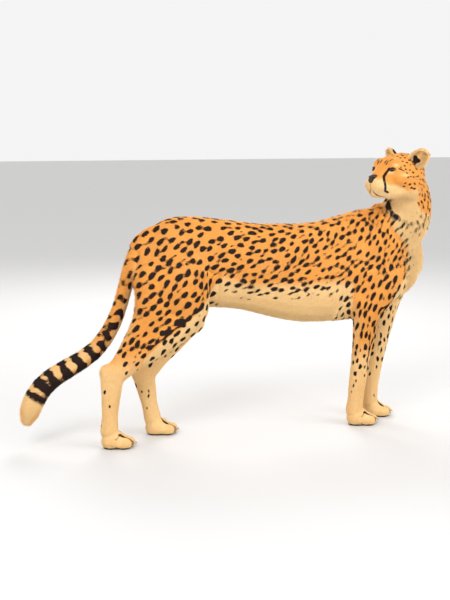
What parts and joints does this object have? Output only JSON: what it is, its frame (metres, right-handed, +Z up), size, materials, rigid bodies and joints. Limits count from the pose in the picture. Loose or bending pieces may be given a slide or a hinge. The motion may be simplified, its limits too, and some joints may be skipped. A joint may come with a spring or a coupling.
{
  "type": "cheetah",
  "caption": "Life-size adult cheetah, standing still and looking back over its right side, tail hanging low behind, with a dark-spotted orange and cream coat.",
  "frame": {"origin": "middle of the bounding box at floor level, where the soles rest", "axes": "+X from tail to chest, +Y to the animal's left, +Z up; the head is turned back towards -X and -Y"},
  "size_m": [1.5714, 0.2768, 1.0452],
  "materials": {
    "coat": "short flat fur, orange above and cream below, with solid dark brown spots and a ringed tail",
    "bare_skin": "dark, slightly moist nose leather, lids and paw pads",
    "eye": "wet amber eye with a round pupil",
    "claw": "dull dark horn"
  },
  "bodies": {
    "root": {"ear_left": "coat", "ear_right": "coat", "eye_left": "eye", "eye_right": "eye", "head": "coat", "left_fore_claw_1": "claw", "left_fore_claw_2": "claw", "left_fore_claw_3": "claw", "left_fore_claw_4": "claw", "left_fore_claw_5": "claw", "left_fore_forearm": "coat", "left_fore_paw": "coat", "left_fore_upper_arm": "coat", "left_hind_claw_1": "claw", "left_hind_claw_2": "claw", "left_hind_claw_3": "claw", "left_hind_claw_4": "claw", "left_hind_paw": "coat", "left_hind_shank": "coat", "left_hind_thigh": "coat", "neck": "coat", "nose": "bare_skin", "right_fore_claw_1": "claw", "right_fore_claw_2": "claw", "right_fore_claw_3": "claw", "right_fore_claw_4": "claw", "right_fore_claw_5": "claw", "right_fore_forearm": "coat", "right_fore_paw": "coat", "right_fore_upper_arm": "coat", "right_hind_claw_1": "claw", "right_hind_claw_2": "claw", "right_hind_claw_3": "claw", "right_hind_claw_4": "claw", "right_hind_paw": "coat", "right_hind_shank": "coat", "right_hind_thigh": "coat", "tail_middle": "coat", "tail_root": "coat", "tail_tip": "coat", "trunk": "coat"}
  },
  "joints": []
}
